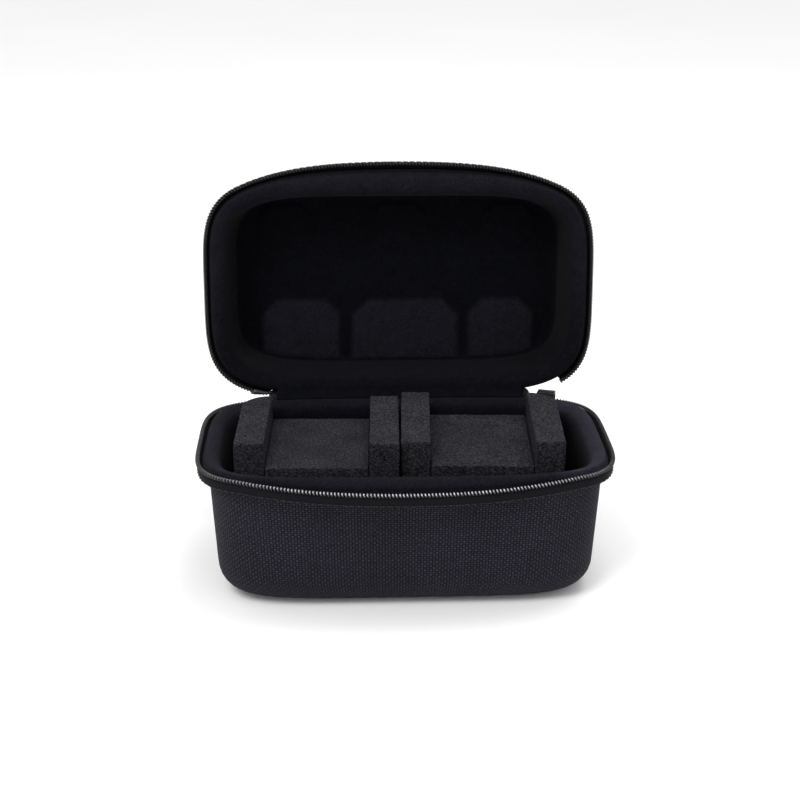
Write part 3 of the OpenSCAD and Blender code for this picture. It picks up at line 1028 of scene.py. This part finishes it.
@dataclass
class ZipperHalf:
    """Tape, coil, stitches and end stop on one half of the rim."""

    half: Half
    wardrobe: Wardrobe
    pitch: float = 1.5 * MM
    wire: float = 0.31 * MM
    loop_half_width: float = 0.72 * MM
    loop_half_height: float = 0.74 * MM
    loop_height: float = 0.1 * MM
    slant: float = 0.42
    cord_radius: float = 0.42 * MM
    stitch_pitch: float = 3.2 * MM
    stitch_length: float = 2.5 * MM
    stitch_width: float = 0.5 * MM
    stop_reach: float = 6.5  # degrees of plan angle
    tape_profile: Profile = field(
        default_factory=lambda: in_mm(
            (1.6, -5.9), (0.2, -5.4), (-0.35, -3.4), (-0.35, -1), (0.35, -1), (0.35, -3.2), (1.6, -4.6)
        )
    )
    stop_profile: Profile = field(
        default_factory=lambda: in_mm(
            (-0.7, -1.6), (-1.3, -0.4), (-1.2, 1.4), (1.2, 1.4), (1.3, -0.4), (0.7, -1.6)
        )
    )
    stitch_rows: Profile = field(default_factory=lambda: in_mm((-0.22, -4.6), (2.7, -5.95)))

    def band(self, name: str, profile: Profile, start: float, rounds: int) -> bpy.types.Object:
        """A strip with a rounded section along part of the rim, up to the zipper's end.

        Args:
            name: Name of the piece.
            profile: Corners of the section.
            start: First plan angle, in degrees.
            rounds: How many times the section's corners are cut.

        Returns:
            The piece.
        """
        half = self.half
        phi = arc_places(half.form, start, half.zip_stop, 1.5 * MM)
        return skin(name, half.world(rounded(half.loft(profile, phi), rounds, closed=True)), False, 2)

    def frames(self, pitch: float, inset: float, z: float) -> tuple[np.ndarray, np.ndarray, np.ndarray]:
        """Evenly spaced places along the zipper, in the shared frame.

        Args:
            pitch: Distance between neighbours.
            inset: Distance in from the zipper line.
            z: Height over the zipper line.

        Returns:
            The points, the tangents and the outward directions.
        """
        half, form = self.half, self.half.form
        phi = arc_places(form, half.zip_start, half.zip_stop, pitch, inset, z if inset else 0.0)
        points, ahead, behind = (
            half.world(form.place(phi + step, inset, z)) for step in (0.0, SMALL_ANGLE, -SMALL_ANGLE)
        )
        tangent = ahead - behind
        tangent /= np.linalg.norm(tangent, axis=-1, keepdims=True)
        return points, tangent, half.turned(form.outward(phi))

    def build_tape(self) -> None:
        """The tape, with the coil's core cord along its edge."""
        start, r = self.half.zip_start, self.cord_radius
        tape = self.band("tape_web", self.tape_profile, start, 1)
        turns = np.linspace(0, 2 * math.pi, 7)[:-1]
        ring = [(r * math.cos(a), self.loop_height - r * math.sin(a)) for a in turns]
        cord = self.band("tape_cord", ring, start, 0)
        self.tie(join_objects(f"{self.half.name}_tape", [tape, cord]), TAPE_FABRIC, "zipper_tape")

    def build_coil(self) -> None:
        """The coil: one slanted loop of nylon a pitch."""
        points, tangent, outward = self.frames(self.pitch, 0.0, self.loop_height)
        axle = tangent + self.slant * self.half.turned(np.array([0.0, 0.0, 1.0]))
        axle /= np.linalg.norm(axle, axis=-1, keepdims=True)
        tree = repeat_tree(Repeat.LOOP, self.wardrobe.get(COIL_NYLON))
        sizes = {"Width": self.loop_half_width, "Length": self.loop_half_height, "Thickness": self.wire}
        piece = repeated(f"{self.half.name}_coil", tree, points, axle, outward, sizes)
        # painted highlight: glints on the crests of the loops at the front
        store_painted_highlight(piece, self.crest_highlight(vertices_of(piece) / MM, len(points)))
        self.tie(piece, COIL_NYLON, "zipper_coil")

    def crest_highlight(self, place: np.ndarray, loops: int) -> np.ndarray:
        """How strongly the painted highlight falls on the coil: on the crests of the loops along the front of
        the base.

        Args:
            place: Vertices of all the loops in turn, in millimetres.
            loops: How many loops there are.

        Returns:
            One value a vertex, from 0 to 1.
        """
        if self.half.name != "base":
            return np.zeros(len(place))
        x, y, z = place.T
        height = z.reshape(loops, -1)
        crest = np.clip((height - height.mean(1, keepdims=True)) / 0.4, 0, 1).ravel()
        return np.clip((-y - 30) / 12, 0, 1) * np.clip((95 - np.abs(x)) / 50, 0, 1) * crest

    def build_stitches(self) -> None:
        """Two rows of lock stitch that hold the tape to the cover."""
        name, rows = self.half.name, []
        tree = repeat_tree(Repeat.STITCH, self.wardrobe.get(THREAD))
        sizes = {"Width": self.stitch_width, "Length": self.stitch_length, "Thickness": self.stitch_width}
        for k, (inset, z) in enumerate(self.stitch_rows):
            points, tangent, outward = self.frames(self.stitch_pitch, inset, z)
            rows.append(repeated(f"{name}_row_{k}", tree, points, tangent, outward, sizes))
        self.tie(join_objects(f"{name}_stitches", rows), THREAD, "tape_stitching")

    def build_stop(self) -> None:
        """The moulded clip on the open end."""
        start = self.half.zip_stop + self.stop_reach
        self.tie(self.band(f"{self.half.name}_stop", self.stop_profile, start, 2), DARK_METAL, "zipper_stop")

    def tie(self, piece: bpy.types.Object, finish: WovenFinish | GrainFinish, node: str) -> None:
        """Dresses a piece and ties it to its body and its solid."""
        self.wardrobe.fit(piece, finish, f"{self.half.name}_{node}", self.half.name)

    def build(self) -> None:
        """Makes the zipper's pieces on this half."""
        self.build_tape()
        self.build_coil()
        self.build_stitches()
        self.build_stop()


@dataclass
class FabricHinge:
    """The strip of cover cloth and the strip of lining that join the two halves at the back."""

    base: Half
    lid: Half
    wardrobe: Wardrobe
    cloth_reach: float = 29.3
    cloth_width: float = 0.113
    cloth_length: float = 0.0495
    lining_reach: float = 29.0
    bridge_start: tuple[float, float, float] = (0, 0.0483, 0.0642)
    bridge_end: tuple[float, float, float] = (0, 0.0506, 0.0667)
    columns: int = 96

    def strip(self, name: str, reach: float, faces: Sequence[tuple[Profile, Profile]]) -> bpy.types.Object:
        """A strip with two faces, each a leg on the base and a leg on the lid.

        Args:
            name: Name of the piece.
            reach: Plan angle from the middle of the back to each end, in degrees.
            faces: Each face's profile on the base and on the lid, both from far away to the fold.

        Returns:
            The piece.
        """
        phi = np.radians(np.linspace(90 - reach, 90 + reach, self.columns))
        skins = []
        for on_base, on_lid in faces:
            near = self.base.world(self.base.loft(on_base, phi))
            far = self.lid.world(self.lid.loft(on_lid, phi))
            skins.append(subdivided(rounded(np.concatenate([near, far[::-1]])), 2 * MM))
        return skin(name, np.concatenate([skins[0], skins[1][::-1]]), False)

    def build_strip(self) -> None:
        """The outer strip, folded about the hinge line."""
        low = self.base.form.wall_inset(WALL_TOP)
        outer = [(low - 0.9 * MM, WALL_TOP), *in_mm((4, -7.6), (1, -6.6), (-1.9, -5.6), (-1.9, 1.6))]
        inner = [(low - 0.1 * MM, WALL_TOP), *in_mm((4.9, -7.1), (3.6, -6.1), (1.5, -5.5), (-0.4, 1.4))]
        piece = self.strip("hinge_cloth", self.cloth_reach, ((outer, outer), (inner, inner)))
        self.wardrobe.fit(piece, OUTER_FABRIC, "hinge_strip", None)
        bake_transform(piece)

    def build_lining(self) -> None:
        """The inner strip, a short bridge from lip to lip."""
        under = in_mm((5.2, 1.8), (2.8, 2.7)), in_mm((5.2, 1.8), (2.8, 2.6))
        over = in_mm((5.6, 2.2), (3.6, 3.2)), in_mm((5.6, 2.2), (3.6, 3.0))
        piece = self.strip("hinge_soft_lining", self.lining_reach, (under, over))
        self.wardrobe.fit(piece, LINING_PILE, "hinge_lining", None)
        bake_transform(piece)

    def build(self) -> None:
        """Makes both strips."""
        self.build_strip()
        self.build_lining()


def plate(
    name: str, outline: Profile, thickness: float, edge: float, at: Sequence[float] = (0, 0, 0)
) -> bpy.types.Object:
    """A flat plate with softened edges, its outline in X and Z and its thickness along Y.

    Args:
        name: Name of the object.
        outline: Corners in order.
        thickness: Thickness along Y.
        edge: Width of the bevel.
        at: Where the outline's origin goes.

    Returns:
        The plate.
    """
    bm = bmesh.new()
    face = bm.faces.new([bm.verts.new((x, 0.0, z)) for x, z in outline])
    grown = bmesh.ops.extrude_face_region(bm, geom=[face])
    moved = [g for g in grown["geom"] if isinstance(g, bmesh.types.BMVert)]
    bmesh.ops.translate(bm, verts=moved, vec=(0, thickness, 0))
    bmesh.ops.recalc_face_normals(bm, faces=bm.faces)
    rims = [e for e in bm.edges if e.calc_face_angle(0) > 0.9]
    bmesh.ops.bevel(bm, geom=rims, offset=edge, segments=3, profile=0.5, affect="EDGES")
    return shifted(from_bmesh(name, bm), at)


def wire(name: str, path: Sequence[Vector], radius: float) -> bpy.types.Object:
    """A round wire along an open path.

    Args:
        name: Name of the object.
        path: Points of the middle line.
        radius: Radius of the wire.

    Returns:
        The wire.
    """
    rows, normal, turns = [], Vector((1, 0, 0)), np.arange(12) * 2 * math.pi / 12
    for behind, point, ahead in zip([path[0], *path[:-1]], path, [*path[1:], path[-1]]):
        tangent = (ahead - behind).normalized()
        if abs(tangent.dot(normal)) > 0.95:
            normal = Vector((0, 0, 1))
        side = tangent.cross(normal).normalized()
        over = side.cross(tangent)
        rows.append([point + radius * (math.cos(a) * side + math.sin(a) * over) for a in turns])
    return skin(name, np.array(rows).transpose(1, 0, 2), False)


def rounded_outline(width: float, low: float, high: float, radius: float) -> Profile:
    """A rectangle with round corners.

    Args:
        width: Width, the same on both sides of 0.
        low: Height of the lower side.
        high: Height of the upper side.
        radius: Radius of the corners.

    Returns:
        Corners in order.
    """
    right, top, bottom, out = width / 2 - radius, high - radius, low + radius, []
    for k, (cx, cz) in enumerate(((right, top), (-right, top), (-right, bottom), (right, bottom))):
        for a in np.radians(90 * k + np.linspace(0, 90, 6)):
            out.append((cx + radius * math.cos(a), cz + radius * math.sin(a)))
    return out


@dataclass
class Slider:
    """The slider parked on the base coil, with its bail and hanging pull."""

    base: Half
    wardrobe: Wardrobe
    angle: float = 50.0  # plan angle where it is parked, in degrees
    length: float = 8.4 * MM
    low: float = -3.4 * MM
    high: float = 4.0 * MM
    outer: float = 2.5 * MM
    inner: float = 2.35 * MM
    plate: float = 0.9 * MM
    bevel: float = 0.3 * MM
    bail_reach: float = 1.75 * MM
    bail_half: float = 1.6 * MM
    bail_radius: float = 0.48 * MM
    pull_width: float = 5.6 * MM
    pull_drop: float = 22 * MM
    bar_radius: float = 0.35 * MM

    def placed(self, parts: Sequence[bpy.types.Object], name: str) -> bpy.types.Object:
        """Joins parts drawn about the slider's own place and moves them there."""
        form, t = self.base.form, math.radians(self.angle)
        here, ahead = (
            superellipse(form.half_width, form.half_depth, form.rim_power, a)
            for a in (t, t + math.radians(1))
        )
        turn = math.atan2(ahead[1] - here[1], ahead[0] - here[0]) + math.pi
        piece = join_objects(name, parts)
        place = Matrix.Translation((float(here[0]), float(here[1]), form.hinge_z - form.mate))
        piece.data.transform(place @ Matrix.Rotation(turn, 4, "Z"))
        return piece

    def build_body(self) -> None:
        """Outer plate with a waist, inner plate, crown and bail."""
        half, chamfer, depth = self.length / 2, 0.6 * MM, self.inner + self.outer
        waist, hip = half - 1.0 * MM, self.low + 1.2 * MM
        outline = [
            (half, hip), (half, self.high - chamfer), (half - chamfer, self.high),
            (-half + chamfer, self.high), (-half, self.high - chamfer), (-half, hip),
            (-waist, self.low), (waist, self.low),
        ]
        front = plate("slider_front", outline, self.plate, self.bevel, (0, self.outer - self.plate, 0))
        rear = rounded_outline(self.length, -0.8 * MM, self.high, chamfer)
        rear = plate("slider_rear", rear, 0.55 * MM, 0.18 * MM, (0, -self.inner, 0))
        top = [(-half, 0), (half, 0), (half, depth), (-half, depth)]
        top = plate("slider_top", top, self.plate, self.bevel)
        top.data.transform(Matrix.Translation((0, -self.inner, self.high - self.plate)) @ SWAP_YZ)
        top.data.flip_normals()
        root = self.outer - 0.3 * MM
        arc = [
            Vector((0, root + self.bail_reach * math.sin(a), self.bail_half * math.cos(a)))
            for a in np.linspace(0, math.pi, 20)
        ]
        piece = self.placed([front, rear, top, wire("slider_bail", arc, self.bail_radius)], "slider_case")
        self.wardrobe.fit(piece, DARK_METAL, "slider_body", "slider")

    def build_pull(self) -> None:
        """The pull: a wire yoke in the bail and a plate with a raised field."""
        half, r, low = self.pull_width / 2, self.bar_radius, -self.pull_drop
        across = np.linspace(-half + 0.3 * MM, half - 0.3 * MM, 8)
        parts = [wire("pull_bar", [Vector((x, 0, 0)) for x in across], r)]
        for side in (-1, 1):
            arm = [Vector((side * (half - 0.4 * MM), 0, z)) for z in np.linspace(0.1 * MM, -6.2 * MM, 8)]
            parts.append(wire("pull_arm", arm, r))
        tab = rounded_outline(self.pull_width, low, -5 * MM, 1.6 * MM)
        parts.append(plate("pull_tab_plate", tab, 1.2 * MM, self.bevel, (0, -r, 0)))
        ridge = rounded_outline(self.pull_width - 2 * MM, low + 1.4 * MM, -7 * MM, 0.9 * MM)
        parts.append(plate("pull_ridge", ridge, 0.25 * MM, 0.1 * MM, (0, 0.8 * MM, 0)))
        for part in parts:
            shifted(part, (0, self.outer + 0.55 * MM, -0.2 * MM))
        self.wardrobe.fit(self.placed(parts, "pull_handle"), DARK_METAL, "pull_tab", "pull")

    def build(self) -> None:
        """Makes the slider and the pull."""
        self.build_body()
        self.build_pull()


@dataclass
class FoamCradle:
    """A loose foam cradle: a thick floor between two upright bars."""

    side: int
    wardrobe: Wardrobe
    place: Matrix
    low: float
    width: float = 72 * MM
    length: float = 61 * MM
    bar: float = 13.2 * MM
    gap: float = 0.15 * MM
    rise: float = 8 * MM
    well: float = 11.4 * MM
    corner: float = 13 * MM
    edge: float = 0.7 * MM
    unevenness: float = 0.22 * MM

    def build_block(self, label: str, x: float, width: float, top: float, seed: float) -> None:
        """Makes, places, dresses and ties one slightly uneven block.

        Args:
            label: Which block it is.
            x: Its left side.
            width: Its width.
            top: Its upper side.
            seed: Shifts its unevenness.
        """
        word = "right" if self.side > 0 else "left"
        piece = rounded_block(f"{word}_foam_{label}", (width, self.length, top - self.low), self.edge)
        shifted(piece, (x, -self.length / 2, self.low))
        if label == "outer_bar":
            self.round_corner(piece)
        co = vertices_of(piece)
        normals = np.array([v.normal for v in piece.data.vertices])
        uneven = self.unevenness * (0.5 + 0.5 * ripple(co, 22 * MM, seed))
        set_vertices(piece, co - normals * uneven[:, None])
        piece.data.transform(self.place)
        self.wardrobe.fit(piece, CRADLE_FOAM, f"{word}_cradle_{label}", f"{word}_cradle")

    def round_corner(self, bar: bpy.types.Object) -> None:
        """Rounds the rear outer corner of a bar."""
        co = vertices_of(bar)
        side_at, back_at = self.width / 2 - self.corner, self.length / 2 - self.corner
        across, back = self.side * co[:, 0] - side_at, co[:, 1] - back_at
        near = (across > 0) & (back > 0)
        scale = np.where(near, np.maximum(across, back) / np.maximum(np.hypot(across, back), 1e-9), 1.0)
        co[:, 0] = np.where(near, self.side * (side_at + across * scale), co[:, 0])
        co[:, 1] = np.where(near, back_at + back * scale, co[:, 1])
        set_vertices(bar, co)

    def build(self) -> None:
        """Makes the floor and both bars."""
        left, right = -self.width / 2, self.width / 2 - self.bar
        floor_x, floor_width = left + self.bar + self.gap, self.width - 2 * (self.bar + self.gap)
        self.build_block("floor", floor_x, floor_width, self.rise - self.well, 1.0 + self.side)
        inner, outer = (left, right) if self.side > 0 else (right, left)
        self.build_block("inner_bar", inner, self.bar, self.rise, 6.0 + self.side)
        self.build_block("outer_bar", outer, self.bar, self.rise, 4.0 + self.side)


@dataclass
class BottomPad:
    """The loose foam pad on the floor of the base."""

    base: Half
    wardrobe: Wardrobe
    low: float
    high: float
    inset: float = 25.15 * MM
    edge: float = 1.0 * MM

    def build(self) -> None:
        """Makes the pad as rings from the middle of its bottom to the middle of its top."""
        phi = np.arange(192) * 2 * math.pi / 192
        shares, turns = (0.03, 0.35, 0.7), np.radians(np.linspace(0, 90, 5))
        sides = []
        for level, way in ((self.low, 1), (self.high, -1)):
            rings = [self.base.form.place(phi, self.inset, level) * [share, share, 1] for share in shares]
            for a in turns:
                inset = self.inset + self.edge * (1 - math.sin(a))
                rings.append(self.base.form.place(phi, inset, level + way * self.edge * (1 - math.cos(a))))
            sides.append(rings)
        points = self.base.world(np.stack(sides[0] + sides[1][::-1]))
        piece = skin("bottom_foam", points, True, 6)
        self.wardrobe.fit(piece, CRADLE_FOAM, "bottom_foam_pad", "base")


@dataclass
class Studio:
    """Camera, plain floor and soft light."""

    aim: Vector
    distance: float = 711.7 * MM
    elevation: float = 0.376
    yaw: float = -0.042
    roll: float = 0.004
    lens: float = 71.35
    shift: tuple[float, float] = (-0.005, 0.048)

    def build_camera(self) -> None:
        """The camera, looking at the middle of the rim."""
        e, a = self.elevation, self.yaw
        back = Vector((math.sin(a) * math.cos(e), -math.cos(a) * math.cos(e), math.sin(e)))
        right = Vector((math.cos(a), math.sin(a), 0))
        up = back.cross(right)
        c, s = math.cos(self.roll), math.sin(self.roll)
        turn = Matrix((c * right + s * up, c * up - s * right, back)).transposed().to_4x4()
        data = bpy.data.cameras.new("camera")
        data.lens, data.sensor_width = self.lens, 36.0
        data.shift_x, data.shift_y = self.shift
        data.clip_start, data.clip_end = 0.01, 60.0
        camera = bpy.data.objects.new("camera", data)
        camera.matrix_world = Matrix.Translation(self.aim + back * self.distance) @ turn
        bpy.context.collection.objects.link(camera)
        bpy.context.scene.camera = camera

    def build_floor(self) -> None:
        """A wide pale floor."""
        bm = bmesh.new()
        bmesh.ops.create_grid(bm, x_segments=1, y_segments=1, size=20.0)
        floor = from_bmesh("floor", bm)
        material, web, shader = started_material("pale floor")
        noise = web.noise(web.add("ShaderNodeTexCoord").outputs["Object"], 3.0)
        colour = web.mixed(noise, (0.86, 0.86, 0.86, 1), (0.9, 0.9, 0.9, 1))
        web.feed(shader, {"Base Color": colour, "Roughness": 0.9, "Specular IOR Level": 0.1})
        floor.data.materials.append(material)

    def add_light(self, name: str, place: Sequence[float], size: float, power: float) -> None:
        """A square soft light aimed at the case."""
        data = bpy.data.lights.new(name, "AREA")
        data.size, data.energy = size, power
        light = bpy.data.objects.new(name, data)
        light.location = place
        light.rotation_mode = "QUATERNION"
        light.rotation_quaternion = (Vector(place) - self.aim).to_track_quat("Z", "Y")
        bpy.context.collection.objects.link(light)

    def build(self) -> None:
        """Makes camera, floor, world and lights."""
        self.build_camera()
        self.build_floor()
        world = bpy.data.worlds.new("studio")
        world.use_nodes = True
        background = world.node_tree.nodes["Background"]
        background.inputs["Color"].default_value = (1, 1, 1, 1)
        background.inputs["Strength"].default_value = 1.0
        bpy.context.scene.world = world
        bpy.context.scene.view_settings.view_transform = "Standard"
        self.add_light("key", (-0.5, -0.7, 1.1), 0.5, 9.0)
        self.add_light("top", (0.3, 0.2, 1.3), 0.6, 7.0)


def main() -> None:
    """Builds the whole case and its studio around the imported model."""
    logging.basicConfig(level=logging.INFO, format="%(message)s")
    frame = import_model()
    joints = {joint["name"]: joint for joint in frame["record"]["behaviour"]["joints"]}
    hinge = joints["lid_hinge"]
    _, hinge_y, hinge_z = hinge["pos_m"]
    form = CaseForm(
        half_width=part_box("base_zipper_coil")[1].x - 1.1 * MM,
        half_depth=hinge_y + 2.4 * MM,
        hinge_y=hinge_y,
        hinge_z=hinge_z,
    )
    base_height = hinge_z - form.mate
    open_angle = math.radians(-hinge["range_deg"][0])
    base = Half("base", form, depth=base_height, fillet=15.7 * MM, open_angle=open_angle, zip_start=60.0)
    lid = Half("lid", form, depth=36 * MM, fillet=10 * MM, open_angle=open_angle, zip_start=45.0)
    wardrobe = Wardrobe()
    for half in (base, lid):
        ShellLayers(half, wardrobe).build()
        ZipperHalf(half, wardrobe).build()
    FabricHinge(base, lid, wardrobe).build()
    Slider(base, wardrobe).build()
    pad_low, pad_high = (corner.z - base_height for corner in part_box("bottom_foam_pad"))
    BottomPad(base, wardrobe, low=pad_low + 0.05 * MM, high=pad_high - 0.05 * MM).build()
    cradle_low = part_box("left_cradle_floor")[0].z - base_height
    for side, y, turn, pitch in ((-1, 5.2 * MM, -1.6, 0.0), (1, 6.8 * MM, -2.4, 1.0)):
        place = Matrix.Translation((side * 36.5 * MM - 1.6 * MM, y, base_height))
        place = place @ Matrix.Rotation(math.radians(turn), 4, "Z")
        place = place @ Matrix.Rotation(math.radians(pitch), 4, "X")
        FoamCradle(side, wardrobe, place, cradle_low).build()
    Studio(Vector((0, 0, base_height))).build()
    bpy.context.view_layer.update()


if __name__ == "__main__":
    main()
